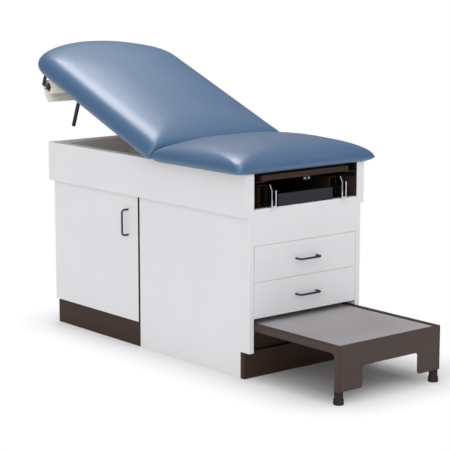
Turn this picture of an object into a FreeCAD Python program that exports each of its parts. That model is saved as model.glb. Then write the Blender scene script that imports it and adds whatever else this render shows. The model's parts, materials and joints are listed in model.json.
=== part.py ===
import FreeCAD, Part
import math
import os

V = FreeCAD.Vector
X = V(1, 0, 0)
Y = V(0, 1, 0)
Z = V(0, 0, 1)

# All sizes are millimetres. X runs to the foot end, the door is on the -Y side, Z is up.
# The origin is on the floor under the middle of the cabinet.

# Cabinet
cab_len = 1270.0        # head apron to drawer fronts
body_w = 555.0          # over the side panels
cab_top = 762.0         # top edge of the sides
side_t = 22.0           # side panels
board_t = 19.0          # inner boards and fronts
partition_t = 25.0
apron_t = 16.0          # skirt boards round the top
apron_h = 159.0
fixed_side = 662.0      # fixed panel beside the door, measured from the foot end
tub_depth = 191.0       # open space under the backrest
liner_t = 6.0
liner_w = 352.0         # from the near side of the tub
shelf_z = 330.0
shelf_back = 40.0       # shelf set back from the door
reveal = 2.0            # gap round the door and beside the drawer fronts
run_gap = 0.5           # gap between parts that slide on each other

# Plinth
toe_h = 97.0            # plinth under the door
toe_in = 2.5            # its set-back from the door face
toe_head_in = 16.0      # its set-back at the head end
kick_h = 100.0          # toe board under the drawers
kick_in = 27.6
kick_t = 22.0
back_up = 66.0          # board behind it, above its top
plinth_off = 25.5       # plinth rail from the partition

# Door and its hinges
door_gap = 11.0         # shadow gap to the fixed panel
door_hinge_in = 90.0    # hinge centre from the door's top and bottom
door_hinge_h = 60.0
leaf_t = 2.0
leaf_w = 32.0
barrel_r = 4.0
barrel_pin_r = 2.0
pull_door_in = 64.0     # pull from the door's free edge
pull_door_z = 492.0

# Wire pulls
pull_len = 101.6        # between the two feet
pull_out = 30.0
pull_r = 4.0
pull_bend = 12.0

# Drawers, below the fixed fascia
front_z = 227.5         # underside of the lower drawer front
front_h = 134.5         # pitch of drawer fronts and fascia
front_gap = 0.8         # between them
drawer_len = 480.0
drawer_t = 12.0         # drawer box boards
drawer_floor_t = 6.0
drawer_wall_h = 96.0
drawer_lift = 14.0      # box above the underside of its front
runner_t = 6.0          # each half of a drawer slide
runner_h = 36.0
runner_len = 440.0

# Upholstery, with the hinge between seat and backrest
pad_w = 690.0
seat_over = 24.0        # seat past the drawer fronts
hinge_x = 114.0         # hinge axis from the middle of the cabinet
hinge_up = 62.0         # hinge axis above the cabinet top
hinge_r = 23.0          # round tail of the backrest about that axis
hinge_side = 85.5       # hinges in from the side panels
rail_off = 14.0         # hinge rail from the hinge axis, towards the foot
tail_gap = 1.5          # between the tail and the seat
back_angle = 21.5       # raised by this much
back_len = 944.0        # hinge axis to the head end
back_lift = 2.0         # backrest above the cabinet top when flat
deck_t = 15.0           # plywood under the upholstery
deck_in = 30.0
deck_tail = 48.0        # backrest deck ends this far before the hinge axis
pad_corner = 10.0       # plan radius at the crease
head_corner = 150.0
head_nose = 520.0
seat_corner = 25.0
seat_nose = 12000.0
seat_fall = (4.0, 2.1)  # how fast the seat's corners round off above its edge, at the crease and in front
fall_from = 8.0         # corners at the crease stay tight until the sides are drawn in this far
corner_most = 0.92      # largest corner, as a share of what its level has room for

# Backrest hinge hardware
ear_t = 6.0
fork_t = 5.0
eye_r = 11.0
pin_r = 5.0
pin_fit = 0.05          # radial running clearance
foot_t = 4.0
foot_len = 80.0
foot_off = 30.0         # fork's foot starts this far before the hinge axis

# Gas spring under the backrest
spring_back = 50.0      # lower pivot from the hinge axis, towards the head
spring_down = 105.0     # lower pivot below the hinge axis
spring_reach = 250.0    # upper pivot along the backrest
spring_drop = 30.0      # upper pivot below the deck
spring_body_r = 11.0
spring_rod_r = 5.0
spring_body_len = 160.0
spring_closing = 44.0   # room for the rod to run further in
spring_eye_r = 9.0
spring_eye_t = 8.0
cheek_t = 3.0

# Release lever
lever_head = 334.0      # from the head end
lever_side = 113.0      # from the pad's near side
lever_len = 173.0       # below the deck
lever_r = 5.5
grip_r = 8.0
grip_len = 105.0
lever_pivot = 15.0      # pivot below the deck
lever_pin_r = 3.0

# Paper roll under the head end
roll_head = 107.0       # from the head end
roll_drop = 103.0
roll_len = 457.0
roll_r = 29.5
core_r = 18.0
core_wall = 2.0
spindle_r = 5.0
hub_in = 10.0           # hub set in from the end of the core
hub_t = 12.0
strap_w = 20.0
strap_t = 3.0
strap_off = 21.0        # strap on the head side of the spindle
strap_end = 3.0         # strap below the spindle's axis
tail_drop = 64.0        # loose paper below that axis
tail_t = 1.0
tail_curl = ((95, 0), (130, 0.13), (170, 0.26), (213, 0.32), (236, 0.46), (256, 0.69), (270, 1))

# Step
step_out = 446.0        # past the drawer fronts
step_side = 2.5         # clear of the side panels
step_top = 213.0        # rolled edges along both sides
step_in = 115.0         # length kept inside the cabinet
sheet_t = 3.0
seam_w = 2.0            # groove where the front meets each side
tread_t = 3.0
tread_down = 7.0        # below the rolled edges
tread_in = 1.0          # clear of them
flange_h = 31.0
leg_r = 12.5
leg_plate_w = 115.0
leg_return = 22.0       # side strip beside each leg
return_r = 20.0         # where that strip meets the side flange
leg_plate_z = 47.0
header_z = 127.0        # underside of the step's front above the cut-out
corner_r = 12.0
foot_r = 19.0
foot_h = 45.0
foot_floor = 10.0       # rubber under the leg tube
rail_len = 470.0
rail_w = 24.0
rail_t = 3.0

# Bay under the seat: leg rest, stirrups and tray
leg_side = 39.5         # leg rest in from the side panels
leg_t = 21.0
leg_len = 455.0
leg_top = 752.0
bay_in = 5.0            # leg rest and tray behind the drawer fronts
guide_side = 80.5       # stirrup guides' middles in from the side panels
guide_w = 59.0
guide_h = 80.0
guide_wall = 3.0
guide_len = 398.0
heel_out = 17.0         # stirrup's heel channel past the drawer fronts
heel_len = 48.0
heel_w = 24.0           # over its two cheeks
heel_t = 5.0
heel_h = 62.0           # low cheek
heel_tip = 21.0         # tall cheek above the low one
heel_slant = 12.0       # tall cheek's front corner cut back by this much
arm_side = 20.0
arm_len = 330.0
tray_side = 9.5         # tray clear of the guides
tray_h = 46.0
tray_len = 400.0
tray_t = 3.0
tray_front_t = 10.0

# Places that follow from the sizes above
x_foot = cab_len / 2
x_head = -cab_len / 2
x_body = x_head + apron_t
y_out = body_w / 2
y_in = y_out - side_t
z_apron = cab_top - apron_h
x_fixed = x_foot - fixed_side
x_wall = x_body + board_t
tub_z = cab_top - tub_depth
bay_z = front_z + 3 * front_h
hinge_z = cab_top + hinge_up
back_z = cab_top + back_lift
rail_x0 = hinge_x + rail_off
rail_x1 = rail_x0 + board_t
seat_x0 = hinge_x + hinge_r + tail_gap
seat_x1 = x_foot + seat_over
tail_x = hinge_x + hinge_r - run_gap
lug_x = hinge_x - foot_off
back_x = x_foot - kick_in - kick_t - board_t
head_x = hinge_x - back_len
hinge_y = y_in - hinge_side
lever_y = lever_side - pad_w / 2
step_w = 2 * (y_in - step_side)
leg_w = 2 * (y_in - leg_side)
guide_y = y_in - guide_side
tray_w = 2 * (guide_y - guide_w / 2 - tray_side)


def box(x0, x1, y0, y1, z0, z1):
    return Part.makeBox(x1 - x0, y1 - y0, z1 - z0, V(x0, y0, z0))


def rod(start, end, r):
    run = end.sub(start)
    return Part.makeCylinder(r, run.Length, start, run)


def tube(start, end, r, bore):
    return rod(start, end, r).cut(rod(start, end, bore))


def prism(points, y0, y1):
    # outline in X and Z, pulled along Y
    ring = [V(x, y0, z) for x, z in points]
    face = Part.Face(Part.makePolygon(ring + ring[:1]))
    return face.extrude(V(0, y1 - y0, 0))


def rounded_wire(points, radii):
    # closed outline whose corners are arcs, a radius of 0 leaves the corner sharp
    edges = []
    ends = []
    for i, corner in enumerate(points):
        before = points[i - 1].sub(corner).normalize()
        after = points[(i + 1) % len(points)].sub(corner).normalize()
        half = before.getAngle(after) / 2
        cut = radii[i] / math.tan(half)
        middle = before.add(after).normalize()
        reach = radii[i] / math.sin(half) - radii[i]
        a = corner.add(V(before).multiply(cut))
        b = corner.add(V(after).multiply(cut))
        ends.append((a, corner.add(V(middle).multiply(reach)), b, radii[i]))
    for i, (a, middle, b, r) in enumerate(ends):
        if r > 0:
            edges.append(Part.Arc(a, middle, b).toShape())
        edges.append(Part.makeLine(b, ends[(i + 1) % len(ends)][0]))
    return Part.Wire(edges)


def both_sides(shape):
    return Part.makeCompound([shape, shape.mirror(V(0, 0, 0), Y)])


def raise_back(shape):
    # backrest parts are drawn flat and turned up about the hinge
    shape.rotate(V(hinge_x, 0, hinge_z), Y, back_angle)
    return shape


def carcass():
    made = {}
    toe = box(x_foot - kick_in - kick_t, x_foot, -y_out, y_out, 0, kick_h)
    made["side_panel_far"] = box(x_body, x_foot, y_in, y_out, 0, cab_top).cut(toe)
    made["side_panel_near"] = box(x_fixed, x_foot, -y_out, -y_in, 0, cab_top).cut(toe)
    made["side_rail_near"] = box(x_body, x_fixed, -y_out, -y_in, z_apron, cab_top)
    made["apron_near"] = box(x_head, x_foot, -y_out - apron_t, -y_out, z_apron, cab_top)
    made["apron_far"] = box(x_head, x_foot, y_out, y_out + apron_t, z_apron, cab_top)
    made["apron_head"] = box(x_head, x_body, -y_out, y_out, z_apron, cab_top)
    made["head_panel"] = box(x_body, x_wall, -y_in, y_in, toe_h, cab_top)
    part_x = x_fixed - partition_t
    made["bottom_panel"] = box(x_wall, part_x, -y_in, y_in, toe_h, toe_h + board_t)
    made["partition_panel"] = box(part_x, x_fixed, -y_in, y_in, 0, tub_z - board_t)
    made["shelf_board"] = box(x_wall, part_x, -y_in + shelf_back, y_in, shelf_z, shelf_z + board_t)
    made["tub_floor"] = box(x_wall, rail_x1, -y_in, y_in, tub_z - board_t, tub_z)
    made["tub_liner"] = box(x_wall, x_wall + liner_t, -y_in, liner_w - y_in, tub_z, cab_top - liner_t)
    made["hinge_rail"] = box(rail_x0, rail_x1, -y_in, y_in, tub_z, cab_top)
    inner_x = x_foot - board_t
    made["bay_floor"] = box(rail_x1, inner_x, -y_in, y_in, bay_z - board_t, bay_z)
    made["fascia_panel"] = box(inner_x, x_foot, -y_in, y_in, front_z + 2 * front_h + front_gap / 2, bay_z)
    kick = box(x_foot - kick_in - kick_t, x_foot - kick_in, -y_out, y_out, 0, kick_h)
    back_board = box(back_x, back_x + board_t, -y_in, y_in, kick_h / 2, kick_h + back_up)
    made["front_kick"] = Part.makeCompound([kick, back_board])
    kick_x = x_body + toe_head_in
    side_kick = box(kick_x, x_fixed, -y_out + toe_in, -y_in, 0, toe_h)
    head_kick = box(kick_x, kick_x + board_t, -y_in, y_in, 0, toe_h)
    made["plinth_boards"] = Part.makeCompound([side_kick, head_kick])
    made["plinth_rail"] = box(x_fixed + plinth_off, x_fixed + plinth_off + board_t, -y_in, y_in, 0, toe_h)
    return made


def wire_pull(centre, along, out):
    # bent round wire with its two feet on the board's face
    half = pull_len / 2
    feet = [centre.sub(V(along).multiply(half)), centre.add(V(along).multiply(half))]
    knees = [f.add(V(out).multiply(pull_out - pull_bend)) for f in feet]
    turn = pull_bend * (1 - math.sqrt(0.5))
    bends = []
    ends = []
    for knee, side in zip(knees, (1, -1)):
        inward = V(along).multiply(side)
        bends.append(knee.add(V(inward).multiply(turn)).add(V(out).multiply(pull_bend - turn)))
        ends.append(knee.add(V(inward).multiply(pull_bend)).add(V(out).multiply(pull_bend)))
    path = Part.Wire([
        Part.makeLine(feet[0], knees[0]),
        Part.Arc(knees[0], bends[0], ends[0]).toShape(),
        Part.makeLine(ends[0], ends[1]),
        Part.Arc(ends[1], bends[1], knees[1]).toShape(),
        Part.makeLine(knees[1], feet[1]),
    ])
    ring = Part.Wire([Part.makeCircle(pull_r, feet[0], out)])
    return path.makePipeShell([ring], True, False)


def door():
    made = {}
    x1 = x_fixed - door_gap
    z0 = toe_h + reveal
    z1 = z_apron - reveal
    back_y = -y_out + board_t
    made["door_panel"] = box(x_body, x1, -y_out, back_y, z0, z1)
    pull_at = V(x1 - pull_door_in, -y_out, pull_door_z)
    made["door_handle"] = wire_pull(pull_at, Z, V(0, -1, 0))
    axis_x = x_body - barrel_r
    axis_y = (back_y - y_in) / 2
    third = door_hinge_h / 3
    leaves = []
    frames = []
    for z in (z0 + door_hinge_in, z1 - door_hinge_in):
        low = z - door_hinge_h / 2
        top = z + door_hinge_h / 2
        barrel = rod(V(axis_x, axis_y, low), V(axis_x, axis_y, top), barrel_r)
        pin = rod(V(axis_x, axis_y, low), V(axis_x, axis_y, top), barrel_pin_r)
        bore = rod(V(axis_x, axis_y, low), V(axis_x, axis_y, top), barrel_pin_r + pin_fit)
        strap = box(x_body - leaf_t, x_body, axis_y, -y_in + leaf_w, low, top)
        room = box(axis_x - 2 * barrel_r, axis_x + 2 * barrel_r, axis_y - 2 * barrel_r, axis_y + 2 * barrel_r,
                   low + third - run_gap, top - third + run_gap)
        frames.append(barrel.fuse(strap).cut(room).fuse(pin).removeSplitter())
        plate = box(x_body - leaf_t, x_body, -y_out + leaf_t, axis_y, low + third, top - third)
        centre = rod(V(axis_x, axis_y, low + third), V(axis_x, axis_y, top - third), barrel_r)
        leaves.append(plate.fuse(centre).cut(bore).removeSplitter())
    made["door_hinge_leaves"] = Part.makeCompound(leaves)
    made["door_hinge_frames"] = Part.makeCompound(frames)
    return made


def drawers():
    made = {}
    runners = []
    inner_x = x_foot - board_t
    wall_y = y_in - 2 * runner_t - run_gap
    for i, name in enumerate(("lower", "upper")):
        z0 = front_z + i * front_h
        floor_z = z0 + drawer_lift
        wall_z = floor_z + drawer_wall_h
        x0 = inner_x - drawer_len
        z1 = z0 + front_h
        front = box(inner_x, x_foot, -y_in + reveal, y_in - reveal, z0 + front_gap / 2, z1 - front_gap / 2)
        wall = box(x0, inner_x, wall_y - drawer_t, wall_y, floor_z, wall_z)
        rear = box(x0, x0 + drawer_t, -wall_y + drawer_t, wall_y - drawer_t, floor_z, wall_z)
        floor = box(x0 + drawer_t, inner_x, -wall_y + drawer_t, wall_y - drawer_t,
                    floor_z, floor_z + drawer_floor_t)
        made[name + "_drawer_front"] = front
        made[name + "_drawer_box"] = Part.makeCompound([*both_sides(wall).Solids, rear, floor])
        pull_at = V(x_foot, 0, z0 + front_h / 2)
        made[name + "_drawer_handle"] = wire_pull(pull_at, Y, X)
        mid_z = (floor_z + wall_z) / 2
        low = mid_z - runner_h / 2
        slide = box(inner_x - runner_len, inner_x, wall_y, wall_y + runner_t, low, low + runner_h)
        made[name + "_drawer_slides"] = both_sides(slide)
        fixed = box(inner_x - runner_len, inner_x, y_in - runner_t, y_in, low, low + runner_h)
        runners += both_sides(fixed).Solids
    made["drawer_runners"] = Part.makeCompound(runners)
    return made


def pad_outline(x_tail, x_end, half, r_tail, r_end, r_nose, z):
    # plan of a pad: straight at the crease, two round corners and one long arc at the far end
    way = 1 if x_end > x_tail else -1
    nose_x = x_end - way * r_nose
    corner_x = nose_x + way * math.sqrt((r_nose - r_end) ** 2 - (half - r_end) ** 2)
    aim = V(corner_x - nose_x, half - r_end, 0).normalize()
    touch = V(nose_x, 0, z).add(V(aim).multiply(r_nose))
    lean = V(aim).add(Y).normalize()
    corner = V(corner_x, half - r_end, z).add(lean.multiply(r_end))
    trim = r_tail * (1 - math.sqrt(0.5))
    side = [
        V(x_tail, half - r_tail, z),
        V(x_tail + way * trim, half - trim, z),
        V(x_tail + way * r_tail, half, z),
        V(corner_x, half, z),
        corner,
        touch,
    ]
    # every pad is drawn round the same way, so that its loft comes out with its skin outwards
    side = [V(p.x, way * p.y, p.z) for p in side]
    far = [V(p.x, -p.y, p.z) for p in side]
    return Part.Wire([
        Part.makeLine(far[0], side[0]),
        Part.Arc(side[0], side[1], side[2]).toShape(),
        Part.makeLine(side[2], side[3]),
        Part.Arc(side[3], side[4], side[5]).toShape(),
        Part.Arc(side[5], V(x_end, 0, z), far[5]).toShape(),
        Part.Arc(far[5], far[4], far[3]).toShape(),
        Part.makeLine(far[3], far[2]),
        Part.Arc(far[2], far[1], far[0]).toShape(),
    ])


def pad(x_tail, x_end, z0, levels, r_end, r_nose, fall=(0, 0)):
    # crowned cushion: each level draws the plan in at the sides, at the far end and at the crease
    way = 1 if x_end > x_tail else -1
    wires = []
    for side_in, end_in, tail_in, up in levels:
        half = pad_w / 2 - side_in
        share = half / (pad_w / 2)
        run = abs(x_end - x_tail) - end_in - tail_in
        most = corner_most * min(half, run / 2)
        tail_r = min(pad_corner * share + fall[0] * max(side_in - fall_from, 0), most)
        end_r = min(r_end * share + fall[1] * side_in, most)
        wires.append(pad_outline(x_tail + way * tail_in, x_end - way * end_in, half, tail_r, end_r,
                                 r_nose * share, z0 + up))
    return Part.makeLoft(wires, True, True)


def deck(x_tail, x_end, z0, r_end, r_nose):
    half = pad_w / 2 - deck_in
    share = half / (pad_w / 2)
    plan = pad_outline(x_tail, x_end, half, pad_corner * share, r_end * share, r_nose * share, z0)
    return Part.Face(plan).extrude(V(0, 0, deck_t))


def upholstery():
    made = {}
    crown = hinge_up + hinge_r
    seat_levels = [
        (12, 12, 12, 0),
        (3, 3, 3, 7),
        (0, 0, 0, 16),
        (2, 2, 0.5, 26),
        (8, 14, 1.5, 41),
        (22, 36, 4, 54),
        (44, 70, 10, 66),
        (82, 112, 26, crown - 8),
        (140, 160, 70, crown),
        (210, 205, 140, crown + 6),
    ]
    seat = pad(seat_x0, seat_x1, cab_top, seat_levels, seat_corner, seat_nose, seat_fall)
    board = deck(seat_x0 + deck_in, seat_x1 - deck_in, cab_top, seat_corner, seat_nose)
    made["seat_deck"] = board
    made["seat_pad"] = seat.cut(board)

    crown -= back_lift
    back_levels = [
        (13, 13, 14, 0),
        (4, 4, 5, 8),
        (0, 0, 1.5, 20),
        (2.5, 3, 0.5, 38),
        (9, 11, 2, 53),
        (21, 25, 7, 65),
        (42, 50, 20, 74),
        (80, 95, 48, crown - 3),
        (160, 190, 120, crown + 3),
        (240, 300, 190, crown + 6),
    ]
    back = pad(tail_x, head_x, back_z, back_levels, head_corner, head_nose)
    board = deck(hinge_x - deck_tail, head_x + deck_in, back_z, head_corner, head_nose)
    slot = box(hinge_x - deck_tail, tail_x + eye_r, hinge_y - ear_t / 2 - 2 * fork_t,
               hinge_y + ear_t / 2 + 2 * fork_t, back_z - eye_r, hinge_z + eye_r + fork_t / 2)
    made["back_pad"] = raise_back(back.cut([board, *both_sides(slot).Solids]))
    made["back_deck"] = raise_back(board)
    return made


def hinges():
    made = {}
    pin_y = ear_t / 2 + run_gap + fork_t
    ear = prism([(hinge_x - eye_r, hinge_z), (hinge_x + eye_r, hinge_z), (rail_x0, cab_top),
                 (rail_x0, cab_top - hinge_up), (hinge_x - eye_r, cab_top - hinge_up / 2)],
                hinge_y - ear_t / 2, hinge_y + ear_t / 2)
    top = rod(V(hinge_x, hinge_y - ear_t / 2, hinge_z), V(hinge_x, hinge_y + ear_t / 2, hinge_z), eye_r)
    base = box(rail_x0 - foot_t, rail_x0, hinge_y - 4 * ear_t, hinge_y + 4 * ear_t,
               cab_top - hinge_up, cab_top)
    pin = rod(V(hinge_x, hinge_y - pin_y, hinge_z), V(hinge_x, hinge_y + pin_y, hinge_z), pin_r)
    ear = ear.fuse([top, base]).cut(pin).removeSplitter()
    made["hinge_ears"] = both_sides(ear)
    made["hinge_pins"] = both_sides(pin)

    arms = []
    for side in (-1, 1):
        near = hinge_y + side * (ear_t / 2 + run_gap)
        far = near + side * fork_t
        y0, y1 = min(near, far), max(near, far)
        arm = prism([(lug_x - eye_r, back_z - foot_t), (lug_x, back_z - foot_t),
                     (hinge_x + eye_r * 0.8, hinge_z - eye_r * 0.5),
                     (hinge_x - eye_r * 0.6, hinge_z + eye_r * 0.7)], y0, y1)
        eye = rod(V(hinge_x, y0, hinge_z), V(hinge_x, y1, hinge_z), eye_r)
        arms += [arm, eye]
    foot = box(lug_x - foot_len, lug_x, hinge_y - 3 * ear_t, hinge_y + 3 * ear_t, back_z - foot_t, back_z)
    bore = rod(V(hinge_x, hinge_y - 2 * pin_y, hinge_z), V(hinge_x, hinge_y + 2 * pin_y, hinge_z),
               pin_r + pin_fit)
    fork = foot.fuse(arms).cut(bore).removeSplitter()
    made["hinge_forks"] = raise_back(both_sides(fork))
    return made


def gas_spring():
    made = {}
    low = V(hinge_x - spring_back, 0, hinge_z - spring_down)
    flat_high = V(hinge_x - spring_reach, 0, back_z - spring_drop)
    swing = FreeCAD.Rotation(Y, back_angle)
    pivot = V(hinge_x, 0, hinge_z)
    high = pivot.add(swing.multVec(flat_high.sub(pivot)))
    aim = high.sub(low).normalize()
    half_eye = spring_eye_t / 2
    out = half_eye + run_gap

    start = low.add(V(aim).multiply(spring_eye_r / 2))
    end = low.add(V(aim).multiply(spring_eye_r + spring_body_len))
    shell = rod(start, end, spring_body_r)
    bore = rod(low.add(V(aim).multiply(2 * spring_eye_r)), end.add(aim), spring_rod_r + pin_fit)
    eye = rod(V(low.x, -half_eye, low.z), V(low.x, half_eye, low.z), spring_eye_r)
    pin_hole = rod(V(low.x, -4 * out, low.z), V(low.x, 4 * out, low.z), pin_r + pin_fit)
    fork_room = [box(low.x - 2 * spring_eye_r, low.x + 2 * spring_eye_r, s * half_eye if s > 0 else -4 * out,
                     4 * out if s > 0 else -half_eye, low.z - 2 * spring_eye_r, low.z + 2 * spring_eye_r)
                 for s in (-1, 1)]
    made["spring_cylinder"] = shell.cut(bore).fuse(eye).cut(fork_room + [pin_hole]).removeSplitter()

    inside = low.add(V(aim).multiply(2 * spring_eye_r + spring_closing))
    tip = high.sub(V(aim).multiply(spring_eye_r / 2))
    ring = rod(V(high.x, -half_eye, high.z), V(high.x, half_eye, high.z), spring_eye_r)
    hole = rod(V(high.x, -2 * out, high.z), V(high.x, 2 * out, high.z), pin_r + pin_fit)
    made["spring_rod"] = rod(inside, tip, spring_rod_r).fuse(ring).cut(hole).removeSplitter()

    plate = box(rail_x0 - cheek_t, rail_x0, -4 * out, 4 * out,
                low.z - 2 * spring_body_r, low.z + 2 * spring_body_r)
    cheek = box(low.x - spring_eye_r, rail_x0, out, out + cheek_t,
                low.z - spring_eye_r, low.z + spring_eye_r)
    pin = rod(V(low.x, -out - cheek_t, low.z), V(low.x, out + cheek_t, low.z), pin_r)
    made["spring_base"] = plate.fuse([*both_sides(cheek).Solids, pin]).removeSplitter()

    # the rod's end swings between these cheeks with no pin through it
    reach = 2 * spring_eye_r
    top = box(flat_high.x - reach, flat_high.x + reach, -4 * out, 4 * out, back_z - cheek_t, back_z)
    wing_y = 2 * out
    wing = box(flat_high.x - reach, flat_high.x + reach, wing_y, wing_y + cheek_t,
               flat_high.z - spring_eye_r, back_z)
    stub = rod(V(flat_high.x, wing_y, flat_high.z), V(flat_high.x, wing_y + 3 * cheek_t, flat_high.z), pin_r)
    wings = both_sides(wing.fuse(stub)).Solids
    made["spring_top_bracket"] = raise_back(top.fuse(wings).removeSplitter())
    return made


def release_lever():
    made = {}
    x = head_x + lever_head
    pivot_z = back_z - lever_pivot
    tip_z = back_z - lever_len
    cheek_y = lever_r + run_gap
    stem = rod(V(x, lever_y, tip_z + grip_r), V(x, lever_y, pivot_z + lever_r), lever_r)
    pin_hole = rod(V(x, lever_y - grip_r, pivot_z), V(x, lever_y + grip_r, pivot_z), lever_pin_r + pin_fit)
    made["lever_rod"] = raise_back(stem.cut(pin_hole))
    sleeve = rod(V(x, lever_y, tip_z), V(x, lever_y, tip_z + grip_len), grip_r)
    sleeve = sleeve.makeFillet(grip_r * 0.6, [sleeve.Edges[i] for i in (0, 2)])
    made["lever_grip"] = raise_back(sleeve.cut(stem))
    plate = box(x - 3 * grip_r, x + 3 * grip_r, lever_y - cheek_y - cheek_t, lever_y + cheek_y + cheek_t,
                back_z - cheek_t, back_z)
    cheeks = [box(x - grip_r, x + grip_r, min(y, y + s * cheek_t), max(y, y + s * cheek_t),
                  pivot_z - grip_r, back_z) for s, y in ((-1, lever_y - cheek_y), (1, lever_y + cheek_y))]
    pin = rod(V(x, lever_y - cheek_y - cheek_t, pivot_z), V(x, lever_y + cheek_y + cheek_t, pivot_z),
              lever_pin_r)
    made["lever_bracket"] = raise_back(plate.fuse(cheeks + [pin]).removeSplitter())
    return made


def paper_roll():
    made = {}
    x = head_x + roll_head
    z = back_z - roll_drop
    half = roll_len / 2
    hub_y = half - hub_in - hub_t
    bore_r = core_r - core_wall
    strap_y = half + hub_in
    end_y = strap_y + 2 * strap_t

    def across(y0, y1, r):
        return rod(V(x, y0, z), V(x, y1, z), r)

    hubs = both_sides(across(hub_y, hub_y + hub_t, bore_r - 2 * pin_fit))
    made["roll_spindle"] = raise_back(across(-end_y, end_y, spindle_r).fuse(hubs.Solids).removeSplitter())
    made["roll_core"] = raise_back(across(-half, half, core_r).cut(across(-half, half, bore_r)))
    paper = raise_back(across(-half, half, roll_r).cut(across(-half, half, core_r)))
    pivot = V(hinge_x, 0, hinge_z)
    mid = pivot.add(FreeCAD.Rotation(Y, back_angle).multVec(V(x, 0, z).sub(pivot)))
    # loose end of the paper: it leaves the top of the roll, stands off on the head side and curls in below
    rims = []
    for lift in (0, tail_t):
        rim = []
        for turn, share in tail_curl:
            r = roll_r + lift + (tail_drop - tail_t - roll_r) * share
            angle = math.radians(turn)
            rim.append(V(mid.x + r * math.cos(angle), -half, mid.z + r * math.sin(angle)))
        rims.append(rim)
    inner, outer = rims
    outer.reverse()
    curves = [Part.BSplineCurve(), Part.BSplineCurve()]
    for curve, rim in zip(curves, rims):
        curve.interpolate(rim)
    face = Part.Face(Part.Wire([
        curves[0].toShape(),
        Part.makeLine(inner[-1], outer[0]),
        curves[1].toShape(),
        Part.makeLine(outer[-1], inner[0]),
    ]))
    made["paper_roll"] = Part.makeCompound([paper, face.extrude(V(0, roll_len, 0)).cut(paper)])

    strap_x = x - strap_off
    boss_r = spindle_r + strap_t
    low_z = z - strap_end
    strap = box(strap_x - strap_w / 2, strap_x + strap_w / 2, strap_y, strap_y + strap_t, low_z, back_z)
    boss = across(strap_y, strap_y + strap_t, boss_r)
    link = box(strap_x, x, strap_y, strap_y + strap_t, low_z, z + boss_r)
    flange = box(strap_x - strap_w, strap_x + strap_w, strap_y - strap_w, strap_y + strap_t,
                 back_z - strap_t, back_z)
    strap = strap.fuse([boss, link, flange]).cut(across(0, end_y, spindle_r)).removeSplitter()
    made["roll_brackets"] = raise_back(both_sides(strap))
    return made


def step():
    made = {}
    x0 = x_foot - step_in
    x1 = x_foot + step_out
    half = step_w / 2
    plate_z = step_top - tread_down - tread_t
    under = plate_z - sheet_t
    top = box(x0, x1, -half, half, under, plate_z)
    flange_z = step_top - flange_h
    hem_r = (step_top - under) / 2
    hem_y = half - hem_r
    hem_z = step_top - hem_r
    hem = rod(V(x0, hem_y, hem_z), V(x1, hem_y, hem_z), hem_r)
    edge = [V(x0, half, hem_z), V(x1, half, hem_z), V(x1, half, leg_plate_z),
            V(x1 - leg_return, half, leg_plate_z), V(x1 - leg_return, half, flange_z), V(x0, half, flange_z)]
    flange = Part.Face(rounded_wire(edge, [0, 0, 0, 0, return_r, 0])).extrude(V(0, -sheet_t, 0))
    inner = half - leg_plate_w
    corners = [V(x1, -half, leg_plate_z), V(x1, -inner, leg_plate_z), V(x1, -inner, header_z),
               V(x1, inner, header_z), V(x1, inner, leg_plate_z), V(x1, half, leg_plate_z),
               V(x1, half, step_top), V(x1, -half, step_top)]
    radii = [0, corner_r, corner_r, corner_r, corner_r, 0, hem_r, hem_r]
    front = Part.Face(rounded_wire(corners, radii)).extrude(V(-sheet_t, 0, 0))
    seam = box(x1 - sheet_t / 2, x1, half - sheet_t - seam_w, half - sheet_t, leg_plate_z, hem_z)
    frame = top.fuse([*both_sides(hem).Solids, *both_sides(flange).Solids, front])
    made["step_frame"] = frame.cut(both_sides(seam).Solids).removeSplitter()

    tread_y = half - 2 * hem_r - tread_in
    tread = box(x0, x1 - sheet_t - tread_in, -tread_y, tread_y, plate_z, plate_z + tread_t)
    rim = [e for e in tread.Edges if e.BoundBox.ZMin > plate_z + tread_t / 2]
    made["step_tread"] = tread.makeFillet(tread_t / 2, rim)

    leg_x = x1 - sheet_t - leg_r
    leg_y = half - sheet_t - leg_r
    leg = tube(V(leg_x, leg_y, foot_floor), V(leg_x, leg_y, under), leg_r, leg_r - sheet_t / 2)
    made["step_legs"] = both_sides(leg)
    profile = [V(leg_x, leg_y, 0), V(leg_x + foot_r, leg_y, 0), V(leg_x + foot_r * 0.92, leg_y, foot_h * 0.3),
               V(leg_x + leg_r + sheet_t, leg_y, foot_h), V(leg_x + leg_r, leg_y, foot_h),
               V(leg_x + leg_r, leg_y, foot_floor), V(leg_x, leg_y, foot_floor)]
    tip = Part.Face(Part.makePolygon(profile + profile[:1])).revolve(V(leg_x, leg_y, 0), Z, 360)
    made["step_feet"] = both_sides(tip)

    rail_z = flange_z - run_gap
    ledge = box(back_x - rail_len, back_x, y_in - rail_w, y_in, rail_z - rail_t, rail_z)
    web = box(back_x - rail_len, back_x, y_in - rail_t, y_in, rail_z - rail_w, rail_z)
    made["step_rails"] = both_sides(ledge.fuse(web).removeSplitter())
    return made


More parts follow.
